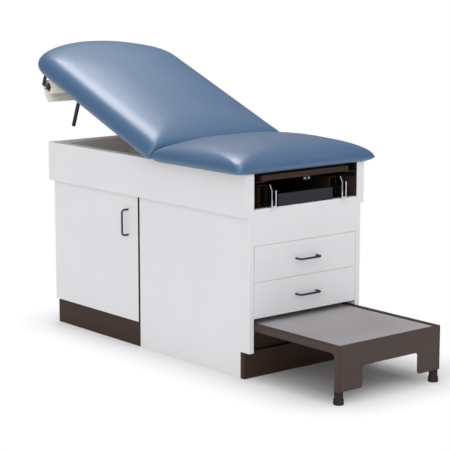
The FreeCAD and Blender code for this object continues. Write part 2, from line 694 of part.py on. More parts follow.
def seat_bay():
    made = {}
    x1 = x_foot - bay_in
    leg_z = leg_top - leg_t
    made["leg_rest_board"] = box(x1 - leg_len, x1, -leg_w / 2, leg_w / 2, leg_z, leg_top)
    ledge_z = leg_z - run_gap
    ledge = box(x1 - leg_len, x1, leg_w / 2 - rail_w, y_in, ledge_z - rail_t, ledge_z)
    web = box(x1 - leg_len, x1, y_in - rail_t, y_in, ledge_z - rail_w, leg_top)
    made["leg_rest_rails"] = both_sides(ledge.fuse(web).removeSplitter())

    # each stirrup is a channel of two cheeks on a floor, with a square arm that runs in its guide
    front_x = x_foot + heel_out
    rear_x = front_x - heel_len
    floor_z = bay_z + guide_wall + run_gap
    rim_z = floor_z + heel_h
    guide_x = rear_x - guide_wall
    outer = box(guide_x - guide_len, guide_x, -guide_w / 2, guide_w / 2, bay_z, bay_z + guide_h)
    inner_w = guide_w / 2 - guide_wall
    inner = box(guide_x - guide_len, guide_x, -inner_w, inner_w,
                bay_z + guide_wall, bay_z + guide_h - guide_wall)
    tall = [(rear_x, floor_z), (front_x, floor_z), (front_x, rim_z), (front_x - heel_slant, rim_z + heel_tip),
            (rear_x, rim_z + heel_tip)]
    channel = prism(tall, -heel_w / 2, heel_t - heel_w / 2).fuse([
        box(rear_x, front_x, -heel_w / 2, heel_w / 2, floor_z, floor_z + heel_t),
        box(rear_x, front_x, heel_w / 2 - heel_t, heel_w / 2, floor_z, rim_z),
    ]).removeSplitter()
    arm = box(rear_x - arm_len, rear_x, -arm_side / 2, arm_side / 2, floor_z, floor_z + arm_side)
    guides = []
    for name, y in (("right", guide_y), ("left", -guide_y)):
        guides.append(outer.cut(inner).translated(V(0, y, 0)))
        made["stirrup_" + name] = Part.makeCompound([channel, arm]).translated(V(0, y, 0))
    made["stirrup_guides"] = Part.makeCompound(guides)

    half = tray_w / 2
    tray_z = bay_z + run_gap
    rim = tray_z + tray_h
    x0 = x1 - tray_len
    inner_x = x1 - tray_front_t
    floor = box(x0, inner_x, -half, half, tray_z, tray_z + tray_t)
    wall = box(x0, inner_x, half - tray_t, half, tray_z + tray_t, rim)
    rear = box(x0, x0 + tray_t, -half + tray_t, half - tray_t, tray_z + tray_t, rim)
    face = box(inner_x, x1, -half, half, tray_z, rim)
    made["instrument_tray"] = Part.makeCompound([floor, *both_sides(wall).Solids, rear, face])
    return made


os.makedirs("parts", exist_ok=True)
groups = (carcass, door, drawers, upholstery, hinges, gas_spring, release_lever, paper_roll, step, seat_bay)
for group in groups:
    for node, shape in group().items():
        shape.exportStep("parts/" + node + ".step")
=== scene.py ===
import json
import math

import bmesh
import bpy
import numpy as np
from mathutils import Matrix, Vector

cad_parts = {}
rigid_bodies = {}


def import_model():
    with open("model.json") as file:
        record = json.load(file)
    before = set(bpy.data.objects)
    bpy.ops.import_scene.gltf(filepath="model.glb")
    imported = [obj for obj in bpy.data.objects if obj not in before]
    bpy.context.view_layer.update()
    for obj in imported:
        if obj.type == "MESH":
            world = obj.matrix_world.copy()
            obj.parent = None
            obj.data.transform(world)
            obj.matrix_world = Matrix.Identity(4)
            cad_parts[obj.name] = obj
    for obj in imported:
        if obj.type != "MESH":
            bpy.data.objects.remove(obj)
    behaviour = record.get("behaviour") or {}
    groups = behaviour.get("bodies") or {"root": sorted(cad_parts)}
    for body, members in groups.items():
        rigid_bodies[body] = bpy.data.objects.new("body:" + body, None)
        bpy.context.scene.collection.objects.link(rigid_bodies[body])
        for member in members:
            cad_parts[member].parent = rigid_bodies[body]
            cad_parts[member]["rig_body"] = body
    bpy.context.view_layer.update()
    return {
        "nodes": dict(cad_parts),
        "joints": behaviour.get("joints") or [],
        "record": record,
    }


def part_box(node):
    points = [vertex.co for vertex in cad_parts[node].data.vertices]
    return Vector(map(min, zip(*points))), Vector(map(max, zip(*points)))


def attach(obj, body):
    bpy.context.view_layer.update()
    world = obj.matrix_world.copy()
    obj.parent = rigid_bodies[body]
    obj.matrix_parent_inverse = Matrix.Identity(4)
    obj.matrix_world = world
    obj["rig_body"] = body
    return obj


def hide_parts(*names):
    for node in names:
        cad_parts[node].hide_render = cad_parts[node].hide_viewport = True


# Examination table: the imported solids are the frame, and this file dresses them.
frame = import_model()
nodes = frame["nodes"]
scene = bpy.context.scene
mm = 0.001

tilt = next(j for j in frame["joints"] if j["name"] == "backrest_tilt")
hinge = Vector(tilt["pos_m"])
restAngle = -math.radians(tilt["range_deg"][0])
raiseBack = Matrix.Translation(hinge) @ Matrix.Rotation(restAngle, 4, "Y") @ Matrix.Translation(-hinge)
layFlat = raiseBack.inverted()
print("frame loaded,", len(nodes), "nodes")


def linear(code):
    parts = [int(code[i:i + 2], 16) / 255 for i in (1, 3, 5)]
    return [c / 12.92 if c <= 0.04045 else ((c + 0.055) / 1.055) ** 2.4 for c in parts] + [1.0]


def addNode(tree, kind, sockets=None, **settings):
    node = tree.nodes.new(kind)
    for name, value in settings.items():
        setattr(node, name, value)
    for socket, value in (sockets or {}).items():
        if isinstance(value, bpy.types.NodeSocket):
            tree.links.new(value, node.inputs[socket])
        else:
            node.inputs[socket].default_value = value
    return node


def startFinish(name, **sockets):
    material = bpy.data.materials.new(name)
    material.use_nodes = True
    tree = material.node_tree
    shader = tree.nodes["Principled BSDF"]
    for socket, value in sockets.items():
        shader.inputs[socket.replace("_", " ")].default_value = value
    where = addNode(tree, "ShaderNodeTexCoord").outputs["Object"]
    return material, tree, shader, where


def shadeBetween(tree, shader, amount, low, high):
    # colour runs from low to high with amount
    mix = addNode(tree, "ShaderNodeMix", {"Factor": amount}, data_type="RGBA")
    mix.inputs["A"].default_value = linear(low)
    mix.inputs["B"].default_value = linear(high)
    tree.links.new(mix.outputs["Result"], shader.inputs["Base Color"])


def roughBetween(tree, shader, amount, low, high):
    span = addNode(tree, "ShaderNodeMapRange", {"Value": amount, "To Min": low, "To Max": high})
    tree.links.new(span.outputs["Result"], shader.inputs["Roughness"])


def toneBetween(tree, shader, amount, look):
    # colour and sheen run together between the look's two ends
    shadeBetween(tree, shader, amount, look["deep"], look["pale"])
    roughBetween(tree, shader, amount, *look["rough"])


def noiseOver(tree, where, size, **sockets):
    # cloudy noise, its blotches about as wide as size
    noise = addNode(tree, "ShaderNodeTexNoise", {"Vector": where, "Scale": 1 / size, **sockets})
    return noise.outputs["Fac"]


def stretch(tree, where, scale):
    # what is drawn over it runs longer along an axis with a small scale
    return addNode(tree, "ShaderNodeMapping", {"Vector": where, "Scale": scale}).outputs["Vector"]


def raiseGrain(tree, shader, height, depth, strength):
    bump = addNode(tree, "ShaderNodeBump", {"Height": height, "Distance": depth, "Strength": strength})
    tree.links.new(bump.outputs["Normal"], shader.inputs["Normal"])


# Finishes

vinylLook = {"deep": "#3C5B7E", "pale": "#436285", "rough": (0.46, 0.54), "cloud": 160 * mm,
             "grain": 1.8 * mm, "grainDepth": 0.12 * mm}


def upholsteryVinyl():
    # calendered PVC on a knit backing: soft broad sheen, a fine pebble only close up
    material, tree, shader, where = startFinish("upholsteryVinyl", IOR=1.5, Coat_Weight=0.45,
                                                Coat_Roughness=0.3)
    cloud = noiseOver(tree, where, vinylLook["cloud"], Detail=3.0)
    toneBetween(tree, shader, cloud, vinylLook)
    pebble = addNode(tree, "ShaderNodeTexVoronoi", {"Vector": where, "Scale": 1 / vinylLook["grain"]},
                     feature="SMOOTH_F1")
    raiseGrain(tree, shader, pebble.outputs["Distance"], vinylLook["grainDepth"], strength=0.35)
    return material


whiteLook = {"deep": "#DADADD", "pale": "#E1E1E3", "rough": (0.38, 0.5), "cloud": 300 * mm,
             "peel": 2.6 * mm, "peelDepth": 0.05 * mm}


def melamineWhite():
    # melamine-faced board pressed on a fine plate: even white, a faint orange peel in the gloss
    material, tree, shader, where = startFinish("melamineWhite", IOR=1.48)
    cloud = noiseOver(tree, where, whiteLook["cloud"], Detail=4.0)
    toneBetween(tree, shader, cloud, whiteLook)
    peel = noiseOver(tree, where, whiteLook["peel"], Detail=2.0)
    raiseGrain(tree, shader, peel, whiteLook["peelDepth"], strength=0.3)
    return material


brownLook = {"deep": "#31211A", "pale": "#3B2920", "rough": (0.4, 0.55), "streak": 45 * mm,
             "peel": 1.6 * mm, "peelDepth": 0.06 * mm}


def melamineBrown():
    # dark brown melamine board: long faint streaks and a satin face
    material, tree, shader, where = startFinish("melamineBrown", IOR=1.48, Specular_IOR_Level=0.2)
    drawn = stretch(tree, where, (0.12, 1.0, 1.0))
    streak = noiseOver(tree, drawn, brownLook["streak"], Detail=6.0)
    toneBetween(tree, shader, streak, brownLook)
    peel = noiseOver(tree, where, brownLook["peel"], Detail=2.0)
    raiseGrain(tree, shader, peel, brownLook["peelDepth"], strength=0.35)
    return material


plyLook = {"deep": "#A39379", "pale": "#C6B89F", "rough": (0.6, 0.75), "figure": 26 * mm,
           "pore": 0.9 * mm, "poreDepth": 0.1 * mm}


def birchPly():
    # rotary-cut plywood, left bare: wide soft figure along the sheet, short pores
    material, tree, shader, where = startFinish("birchPly", IOR=1.5)
    drawn = stretch(tree, where, (0.15, 1.0, 1.0))
    figure = noiseOver(tree, drawn, plyLook["figure"], Detail=5.0, Distortion=1.2)
    toneBetween(tree, shader, figure, plyLook)
    pore = noiseOver(tree, drawn, plyLook["pore"])
    raiseGrain(tree, shader, pore, plyLook["poreDepth"], strength=0.4)
    return material


linerLook = {"deep": "#C3C1C5", "pale": "#CFCDD1", "rough": (0.55, 0.7), "cloud": 80 * mm,
             "tooth": 1.2 * mm, "toothDepth": 0.08 * mm}


def greyFibreboard():
    # painted hardboard: dull pale grey with a slight tooth
    material, tree, shader, where = startFinish("greyFibreboard", IOR=1.48)
    cloud = noiseOver(tree, where, linerLook["cloud"], Detail=4.0)
    toneBetween(tree, shader, cloud, linerLook)
    tooth = noiseOver(tree, where, linerLook["tooth"])
    raiseGrain(tree, shader, tooth, linerLook["toothDepth"], strength=0.4)
    return material


zincLook = {"deep": "#A3A6A9", "pale": "#C9CBCC", "rough": (0.3, 0.44), "spangle": 5 * mm,
            "draw": 0.7 * mm, "drawDepth": 0.03 * mm}


def zincPlate():
    # bright zinc on cold-rolled strip: cool grey, small cloudy spangle, fine rolling lines
    material, tree, shader, where = startFinish("zincPlate", Metallic=1.0)
    spangle = addNode(tree, "ShaderNodeTexVoronoi", {"Vector": where, "Scale": 1 / zincLook["spangle"]})
    shadeBetween(tree, shader, spangle.outputs["Color"], zincLook["deep"], zincLook["pale"])
    roughBetween(tree, shader, spangle.outputs["Distance"], *zincLook["rough"])
    drawn = stretch(tree, where, (0.05, 1.0, 1.0))
    lines = noiseOver(tree, drawn, zincLook["draw"])
    raiseGrain(tree, shader, lines, zincLook["drawDepth"], strength=0.3)
    return material


blackLook = {"deep": "#161617", "pale": "#232325", "rough": (0.3, 0.42), "mist": 12 * mm,
             "peel": 1.1 * mm, "peelDepth": 0.05 * mm}


def blackEnamel():
    # stoved black enamel on steel: deep satin with a little peel
    material, tree, shader, where = startFinish("blackEnamel", IOR=1.5, Specular_IOR_Level=0.2)
    mist = noiseOver(tree, where, blackLook["mist"], Detail=3.0)
    toneBetween(tree, shader, mist, blackLook)
    peel = noiseOver(tree, where, blackLook["peel"])
    raiseGrain(tree, shader, peel, blackLook["peelDepth"], strength=0.3)
    return material


chromeLook = {"deep": "#C4C6CA", "pale": "#DADCDF", "rough": (0.1, 0.2), "haze": 18 * mm,
              "polish": 0.9 * mm, "polishDepth": 0.012 * mm}


def chromePlate():
    # bright chrome over polished steel: near mirror, faint buffing lines
    material, tree, shader, where = startFinish("chromePlate", Metallic=1.0)
    haze = noiseOver(tree, where, chromeLook["haze"], Detail=3.0)
    toneBetween(tree, shader, haze, chromeLook)
    drawn = stretch(tree, where, (1.0, 1.0, 0.04))
    buff = noiseOver(tree, drawn, chromeLook["polish"])
    raiseGrain(tree, shader, buff, chromeLook["polishDepth"], strength=0.3)
    return material


gripLook = {"deep": "#141416", "pale": "#1F1F22", "rough": (0.34, 0.5), "flow": 9 * mm, "skin": 0.8 * mm,
            "skinDepth": 0.05 * mm}


def dippedGrip():
    # plastisol dip: black, softly glossy, with slow changes of sheen
    material, tree, shader, where = startFinish("dippedGrip", IOR=1.52)
    flow = noiseOver(tree, where, gripLook["flow"], Detail=2.0)
    toneBetween(tree, shader, flow, gripLook)
    skin = noiseOver(tree, where, gripLook["skin"])
    raiseGrain(tree, shader, skin, gripLook["skinDepth"], strength=0.3)
    return material


paperLook = {"deep": "#E9E7E1", "pale": "#F4F3EF", "rough": (0.8, 0.92), "fibre": 4 * mm,
             "crepe": 2.2 * mm, "crepeDepth": 0.18 * mm}


def crepePaper():
    # creped table paper: matt white with fine cross ridges, drawn a little coarse so that they show
    material, tree, shader, where = startFinish("crepePaper", IOR=1.45)
    fibre = noiseOver(tree, where, paperLook["fibre"], Detail=5.0)
    toneBetween(tree, shader, fibre, paperLook)
    drawn = stretch(tree, where, (1.0, 0.12, 1.0))
    crepe = noiseOver(tree, drawn, paperLook["crepe"])
    raiseGrain(tree, shader, crepe, paperLook["crepeDepth"], strength=0.5)
    return material


tubeLook = {"deep": "#7C603F", "pale": "#A0825B", "wind": 60 * mm, "fibre": 3 * mm,
            "fibreDepth": 0.08 * mm}
waveUnit = 0.314             # scale of a wave texture that repeats every metre


def kraftTube():
    # spiral-wound kraft tube: tan, with wide slanted bands and short fibres
    material, tree, shader, where = startFinish("kraftTube", IOR=1.45, Roughness=0.85)
    turned = addNode(tree, "ShaderNodeMapping", {"Vector": where, "Rotation": (0.0, 0.0, math.radians(30))})
    bands = addNode(tree, "ShaderNodeTexWave",
                    {"Vector": turned.outputs["Vector"], "Scale": waveUnit / tubeLook["wind"],
                     "Distortion": 0.6, "Detail": 2.0}, bands_direction="Y")
    shadeBetween(tree, shader, bands.outputs["Fac"], tubeLook["deep"], tubeLook["pale"])
    fibre = noiseOver(tree, where, tubeLook["fibre"], Detail=4.0)
    raiseGrain(tree, shader, fibre, tubeLook["fibreDepth"], strength=0.4)
    return material


pullLook = {"deep": "#3A3A3D", "pale": "#56575B", "rough": (0.28, 0.4), "haze": 7 * mm, "draw": 0.5 * mm,
            "drawDepth": 0.02 * mm}


def blackNickel():
    # black nickel on bent wire: dark metal, a little hazy
    material, tree, shader, where = startFinish("blackNickel", Metallic=0.9)
    haze = noiseOver(tree, where, pullLook["haze"], Detail=2.0)
    toneBetween(tree, shader, haze, pullLook)
    draw = noiseOver(tree, where, pullLook["draw"])
    raiseGrain(tree, shader, draw, pullLook["drawDepth"], strength=0.3)
    return material


coatLook = {"deep": "#3D302C", "pale": "#463834", "rough": (0.42, 0.55), "cloud": 90 * mm,
            "peel": 1.5 * mm, "peelDepth": 0.1 * mm}


def brownPowderCoat():
    # fine-texture powder coat on folded sheet: warm dark brown, dull satin, sandy close up
    material, tree, shader, where = startFinish("brownPowderCoat", IOR=1.5, Specular_IOR_Level=0.3)
    cloud = noiseOver(tree, where, coatLook["cloud"], Detail=4.0)
    toneBetween(tree, shader, cloud, coatLook)
    peel = noiseOver(tree, where, coatLook["peel"], Detail=2.0)
    raiseGrain(tree, shader, peel, coatLook["peelDepth"], strength=0.4)
    return material


treadLook = {"deep": "#8F8C8E", "pale": "#B7B4B6", "rough": (0.6, 0.8), "fleck": 7 * mm,
             "pebble": 3.6 * mm, "pebbleDepth": 0.5 * mm}


def pebbledRubber():
    # calendered rubber matting: flecked mid grey, close round pebbles drawn coarse so that they show
    material, tree, shader, where = startFinish("pebbledRubber", IOR=1.5)
    fleck = noiseOver(tree, where, treadLook["fleck"], Detail=6.0, Roughness=0.7)
    toneBetween(tree, shader, fleck, treadLook)
    pebble = addNode(tree, "ShaderNodeTexVoronoi", {"Vector": where, "Scale": 1 / treadLook["pebble"]},
                     feature="SMOOTH_F1")
    raiseGrain(tree, shader, pebble.outputs["Distance"], treadLook["pebbleDepth"], strength=0.5)
    return material


tipLook = {"deep": "#261917", "pale": "#30211D", "rough": (0.5, 0.7), "bloom": 10 * mm, "skin": 1.0 * mm,
           "skinDepth": 0.06 * mm}


def mouldedRubber():
    # moulded rubber tip: brown-black with a dusty bloom
    material, tree, shader, where = startFinish("mouldedRubber", IOR=1.5, Specular_IOR_Level=0.25)
    bloom = noiseOver(tree, where, tipLook["bloom"], Detail=4.0)
    toneBetween(tree, shader, bloom, tipLook)
    skin = noiseOver(tree, where, tipLook["skin"])
    raiseGrain(tree, shader, skin, tipLook["skinDepth"], strength=0.3)
    return material


trayLook = {"deep": "#1E1F24", "pale": "#26272C", "rough": (0.32, 0.45), "flow": 40 * mm,
            "spark": 0.9 * mm, "sparkDepth": 0.05 * mm}


def trayAbs():
    # vacuum-formed ABS: dark blue grey, fine spark texture, low sheen
    material, tree, shader, where = startFinish("trayAbs", IOR=1.53, Specular_IOR_Level=0.2)
    flow = noiseOver(tree, where, trayLook["flow"], Detail=3.0)
    toneBetween(tree, shader, flow, trayLook)
    spark = noiseOver(tree, where, trayLook["spark"])
    raiseGrain(tree, shader, spark, trayLook["sparkDepth"], strength=0.3)
    return material


finishes = {
    "vinyl": upholsteryVinyl(),
    "white_laminate": melamineWhite(),
    "brown_laminate": melamineBrown(),
    "raw_board": birchPly(),
    "grey_liner": greyFibreboard(),
    "zinc_steel": zincPlate(),
    "black_steel": blackEnamel(),
    "chrome": chromePlate(),
    "vinyl_grip": dippedGrip(),
    "paper": crepePaper(),
    "cardboard": kraftTube(),
    "dark_wire": blackNickel(),
    "brown_steel": brownPowderCoat(),
    "tread_rubber": pebbledRubber(),
    "foot_rubber": mouldedRubber(),
    "tray_plastic": trayAbs(),
}
slotOf = {part["node"]: part["material_slot"] for part in frame["record"]["subparts"]}
for name, node in nodes.items():
    node.data.materials.clear()
    node.data.materials.append(finishes[slotOf[name]])
print("finishes made,", len(finishes))


# Pieces

touching = 0.01 * mm         # points closer than this are one point
inPlane = 0.1 * mm           # a face closer than this to a plane lies in it
sharpEdge = math.radians(40)
nearlyFlat = math.radians(1)
squareOn = 0.9               # a normal with this much along an axis faces along it


def addPiece(name, mesh, body, slot, standsFor=()):
    piece = bpy.data.objects.new(name, mesh)
    scene.collection.objects.link(piece)
    dressPiece(piece, body, slot, standsFor)
    return piece


def dressPiece(piece, body, slot, standsFor=()):
    if not piece.data.materials:
        piece.data.materials.append(finishes[slot])
    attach(piece, body)
    if standsFor:
        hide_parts(*standsFor)


def bareMesh(nodeName, meshName):
    # a node's triangles joined up, with its flat faces made whole
    source = nodes[nodeName].data
    mesh = bpy.data.meshes.new(meshName)
    mesh.from_pydata([v.co[:] for v in source.vertices], [], [p.vertices[:] for p in source.polygons])
    bm = bmesh.new()
    bm.from_mesh(mesh)
    bmesh.ops.remove_doubles(bm, verts=bm.verts, dist=touching)
    bmesh.ops.dissolve_limit(bm, angle_limit=nearlyFlat, verts=bm.verts, edges=bm.edges)
    bm.to_mesh(mesh)
    bm.free()
    return mesh


def easeEdges(piece, width, segments, byWeight=False):
    piece.data.shade_smooth()
    bevel = piece.modifiers.new("easedEdges", "BEVEL")
    bevel.width = width
    bevel.segments = segments
    bevel.limit_method = "WEIGHT" if byWeight else "ANGLE"
    bevel.angle_limit = sharpEdge
    bevel.harden_normals = True


def camelName(nodeName):
    first, *rest = nodeName.split("_")
    return first + "".join(word.title() for word in rest)


boardLook = {"ease": 0.9 * mm, "segments": 2}
boardNodes = [name for name, slot in slotOf.items()
              if slot in ("white_laminate", "brown_laminate", "grey_liner", "tray_plastic", "chrome")
              and name != "spring_rod"]


def easedBoard(nodeName):
    # laminated boards and plates, with the small rounding that trimming and plating leave
    mesh = bareMesh(nodeName, camelName(nodeName))
    if nodeName.startswith("side_panel"):
        lineBay(mesh)
    if nodeName == "partition_panel":
        bandEdge(mesh, 1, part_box(nodeName)[0].y)
    if nodeName == "door_panel":
        bandEdge(mesh, 0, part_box(nodeName)[1].x)
    piece = addPiece(camelName(nodeName), mesh, nodes[nodeName]["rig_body"], slotOf[nodeName], [nodeName])
    easeEdges(piece, boardLook["ease"], boardLook["segments"])


def lineBay(mesh):
    # inside the bay under the seat the side panels are faced in dark coated sheet
    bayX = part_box("hinge_rail")[1].x
    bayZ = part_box("bay_floor")[0].z
    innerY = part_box("bay_floor")[1].y
    mesh.materials.append(finishes["white_laminate"])
    mesh.materials.append(finishes["brown_steel"])
    bm = bmesh.new()
    bm.from_mesh(mesh)
    for at, across in ((Vector((bayX, 0, 0)), Vector((1, 0, 0))), (Vector((0, 0, bayZ)), Vector((0, 0, 1)))):
        whole = bm.verts[:] + bm.edges[:] + bm.faces[:]
        bmesh.ops.bisect_plane(bm, geom=whole, plane_co=at, plane_no=across)
    for face in bm.faces:
        middle = face.calc_center_median()
        if abs(abs(middle.y) - innerY) < inPlane and middle.x > bayX and middle.z > bayZ:
            face.material_index = 1
    bm.to_mesh(mesh)
    bm.free()


def bandEdge(mesh, axis, level):
    # edges that show in the gap beside the door are banded in brown
    mesh.materials.append(finishes["white_laminate"])
    mesh.materials.append(finishes["brown_laminate"])
    for face in mesh.polygons:
        if abs(face.center[axis] - level) < inPlane and abs(face.normal[axis]) > squareOn:
            face.material_index = 1


for nodeName in boardNodes:
    easedBoard(nodeName)
print("boards eased,", len(boardNodes))


stepLook = {"bend": 3.0 * mm, "cutEase": 0.2, "segments": 3}    # cut edges get this share of a bend


def foldedStep():
    # folded sheet: round outer bends, and cut edges only broken
    mesh = bareMesh("step_frame", "stepFrame")
    low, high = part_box("step_frame")
    weights = []
    for edge in mesh.edges:
        ends = [mesh.vertices[i].co for i in edge.vertices]
        onFront = all(abs(p.x - high.x) < inPlane for p in ends)
        onTop = all(abs(p.z - high.z) < inPlane for p in ends)
        onSide = all(abs(abs(p.y) - high.y) < inPlane for p in ends) and ends[0].y * ends[1].y > 0
        weights.append(1.0 if onFront + onTop + onSide > 1 else stepLook["cutEase"])
    faces = {}
    for face in mesh.polygons:
        for key in face.edge_keys:
            faces.setdefault(key, []).append(face.normal)
    for i, edge in enumerate(mesh.edges):
        pair = faces[edge.key]
        if len(pair) != 2 or pair[0].angle(pair[1]) < sharpEdge:
            weights[i] = 0.0
    mesh.attributes.new("bevel_weight_edge", "FLOAT", "EDGE").data.foreach_set("value", weights)
    piece = addPiece("stepFrame", mesh, "step", "brown_steel", ["step_frame"])
    easeEdges(piece, stepLook["bend"], stepLook["segments"], byWeight=True)


foldedStep()

tipProfile = {"radius": 19 * mm, "bore": 12.5 * mm, "height": 45 * mm, "floor": 10 * mm, "toe": 1.6 * mm,
              "turns": 48, "ease": 0.5 * mm, "segments": 2}


def rubberTips():
    # two-tier tips: a broad foot with a waist, and a collar round the leg
    r, h, bore, floor = (tipProfile[k] for k in ("radius", "height", "bore", "floor"))
    outline = [(0.0, 0.0), (r * 0.92, 0.0), (r, tipProfile["toe"]), (r, 0.2 * h), (r * 0.96, 0.24 * h),
               (r * 0.98, 0.29 * h), (r * 0.97, 0.44 * h), (r * 0.88, 0.5 * h), (r * 0.82, 0.53 * h),
               (r * 0.81, 0.62 * h), (r * 0.85, 0.66 * h), (r * 0.85, 0.93 * h), (r * 0.8, h), (bore, h),
               (bore, floor), (0.0, floor)]
    low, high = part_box("step_feet")
    middleX = (low.x + high.x) / 2
    bm = bmesh.new()
    for side in (-1, 1):
        centre = Vector((middleX, side * (high.y - r), low.z))
        ring = [bm.verts.new(centre + Vector((x, 0, z))) for x, z in outline]
        edges = [bm.edges.new(pair) for pair in zip(ring, ring[1:])]
        bmesh.ops.spin(bm, geom=ring + edges, cent=centre, axis=(0, 0, 1), angle=2 * math.pi,
                       steps=tipProfile["turns"], use_merge=True)
    bmesh.ops.remove_doubles(bm, verts=bm.verts, dist=touching)
    bmesh.ops.recalc_face_normals(bm, faces=bm.faces)
    mesh = bpy.data.meshes.new("rubberTips")
    bm.to_mesh(mesh)
    bm.free()
    piece = addPiece("rubberTips", mesh, "step", "foot_rubber", ["step_feet"])
    easeEdges(piece, tipProfile["ease"], tipProfile["segments"])


rubberTips()
print("step folded, tips turned")


# Upholstery

padLook = {
    "voxel": 6 * mm,
    "settle": 4,             # smoothing passes after the remesh
    "ironing": 0.5,          # share of the way that a smoothing pass moves a point
    "slack": 0.4 * mm,       # the cover starts this far inside its shape
    "pressure": 4.0,
    "quality": 4,
    "frames": 20,
    "bend": 20.0,            # stiffness of the cover over its foam
    "even": 60,              # passes that even out the swelling
    "stapled": 14 * mm,      # held this far up from the underside
    "freeFrom": 40 * mm,     # free to swell from this height
    "calm": 70 * mm,         # swelling fades out over this length before the crease
    "soften": 40,            # further passes on the upper part only
    "softFrom": 25 * mm,
    "softOver": 30 * mm,
    "slotIn": 18 * mm,       # middle of a hinge slot from the outside of its fork
    "slotHalf": 13.1 * mm,
    "plugWider": 1.08,       # a plug overlaps the cover beside its slot
    "squeeze": 6 * mm,
    "squeezeOver": 45 * mm,
    "squeezeFrom": 25 * mm,  # in full from this height
    # way from the corner, depth
    "gathers": ((8 * mm, 2.0 * mm), (19 * mm, 1.4 * mm), (31 * mm, 0.8 * mm)),
    "gatherWidth": 4.0 * mm,
    "gatherTop": 46 * mm,
    "gatherFoot": 5 * mm,
    "gatherNear": 60 * mm,   # only this close to the crease
    "gatherLean": 4 * mm,
    "gatherFade": 0.7,
    "foldOut": 6.0 * mm,     # lip of spare cover at the seat's front corners
    "foldWidth": 6.0 * mm,
    "foldRise": 12 * mm,
    "foldReach": 90 * mm,
    "seat": {"node": "seat_pad", "body": "cabinet", "swell": 2.5 * mm, "fill": 0.9},
    "back": {"node": "back_pad", "body": "backrest", "swell": 2.5 * mm, "fill": 0.9},
}


def evaluatedMesh(piece):
    depsgraph = bpy.context.evaluated_depsgraph_get()
    return bpy.data.meshes.new_from_object(piece.evaluated_get(depsgraph), depsgraph=depsgraph)


def readPoints(mesh, what="co"):
    flat = np.empty(len(mesh.vertices) * 3)
    mesh.vertices.foreach_get(what, flat)
    return flat.reshape(-1, 3)


def writePoints(mesh, points):
    mesh.vertices.foreach_set("co", points.ravel())
    mesh.update()


def smoothStep(share):
    share = np.clip(share, 0, 1)
    return share * share * (3 - 2 * share)


def bakeModifiers(piece):
    made = evaluatedMesh(piece)
    piece.modifiers.clear()
    piece.data = made


def evenOut(mesh, move):
    # foam spreads a push over its neighbours, so that no wrinkle stays
    ends = np.empty(len(mesh.edges) * 2, dtype=np.int32)
    mesh.edges.foreach_get("vertices", ends)
    here, there = np.concatenate([ends[0::2], ends[1::2]]), np.concatenate([ends[1::2], ends[0::2]])
    count = np.maximum(np.bincount(here, minlength=len(move)), 1)
    for turn in range(padLook["even"]):
        around = [np.bincount(here, weights=move[there, i], minlength=len(move)) / count for i in range(3)]
        move = (move + np.stack(around, axis=1)) / 2
    return move


def stuffPad(piece, low, tailX, swell):
    # foam pushing the cover out: pressure from inside, the cover held where it is stapled
    points = readPoints(piece.data)
    free = smoothStep(np.abs(points[:, 0] - tailX) / padLook["calm"])
    free *= smoothStep((points[:, 2] - low) / padLook["freeFrom"])
    start = points - readPoints(piece.data, "normal") * (free * padLook["slack"])[:, None]
    writePoints(piece.data, start)
    held = piece.vertex_groups.new(name="stapled")
    held.add([int(i) for i in np.nonzero(start[:, 2] < low + padLook["stapled"])[0]], 1.0, "REPLACE")
    cloth = piece.modifiers.new("stuffing", "CLOTH")
    cloth.settings.quality = padLook["quality"]
    cloth.settings.bending_stiffness = padLook["bend"]
    cloth.settings.use_pressure = True
    cloth.settings.uniform_pressure_force = padLook["pressure"]
    cloth.settings.effector_weights.gravity = 0
    cloth.settings.vertex_group_mass = "stapled"
    cloth.collision_settings.use_collision = False
    cloth.point_cache.frame_end = padLook["frames"]
    for number in range(1, padLook["frames"] + 1):
        scene.frame_set(number)
    move = readPoints(evaluatedMesh(piece)) - start
    piece.modifiers.clear()
    piece.vertex_groups.clear()
    scene.frame_set(1)
    size = np.linalg.norm(move, axis=1, keepdims=True)
    move *= np.minimum(1.0, swell / np.maximum(size, 1e-9)) * free[:, None]
    writePoints(piece.data, start + evenOut(piece.data, move))


def closeSlots(mesh):
    # the cover runs on over the hinge slots, so that the crease is whole
    middle = max(v.co.y for v in nodes["hinge_forks"].data.vertices) - padLook["slotIn"]
    bm = bmesh.new()
    bm.from_mesh(mesh)
    walls = [f for f in bm.faces if all(abs(abs(v.co.y) - middle) < padLook["slotHalf"] for v in f.verts)]
    for side in (-1, 1):
        spots = {v.co.copy().freeze() for f in walls for v in f.verts if v.co.y * side > 0}
        centre = side * middle
        plug = [bm.verts.new((p.x, centre + padLook["plugWider"] * (p.y - centre), p.z)) for p in spots]
        hull = bmesh.ops.convex_hull(bm, input=plug)
        bmesh.ops.delete(bm, geom=[v for v in hull["geom_interior"] if isinstance(v, bmesh.types.BMVert)],
                         context="VERTS")
    bm.to_mesh(mesh)
    bm.free()


def softenCrown(piece, low):
    # foam rounds off the upper part, and the stapled edge keeps its line
    points = readPoints(piece.data)
    share = smoothStep((points[:, 2] - low - padLook["softFrom"]) / padLook["softOver"])
    crown = piece.vertex_groups.new(name="crown")
    for i in np.nonzero(share > 0)[0]:
        crown.add([int(i)], float(share[i]), "REPLACE")
    soften = piece.modifiers.new("soften", "SMOOTH")
    soften.factor = padLook["ironing"]
    soften.iterations = padLook["soften"]
    soften.vertex_group = "crown"
    bakeModifiers(piece)
    piece.vertex_groups.clear()


def squeezeCrease(mesh, tailX, way, low):
    # the two pads press against each other at the crease
    points = readPoints(mesh)
    near = smoothStep(1 - np.abs(points[:, 0] - tailX) / padLook["squeezeOver"])
    raised = smoothStep((points[:, 2] - low) / padLook["squeezeFrom"])
    points[:, 0] -= way * padLook["squeeze"] * near * raised
    writePoints(mesh, points)


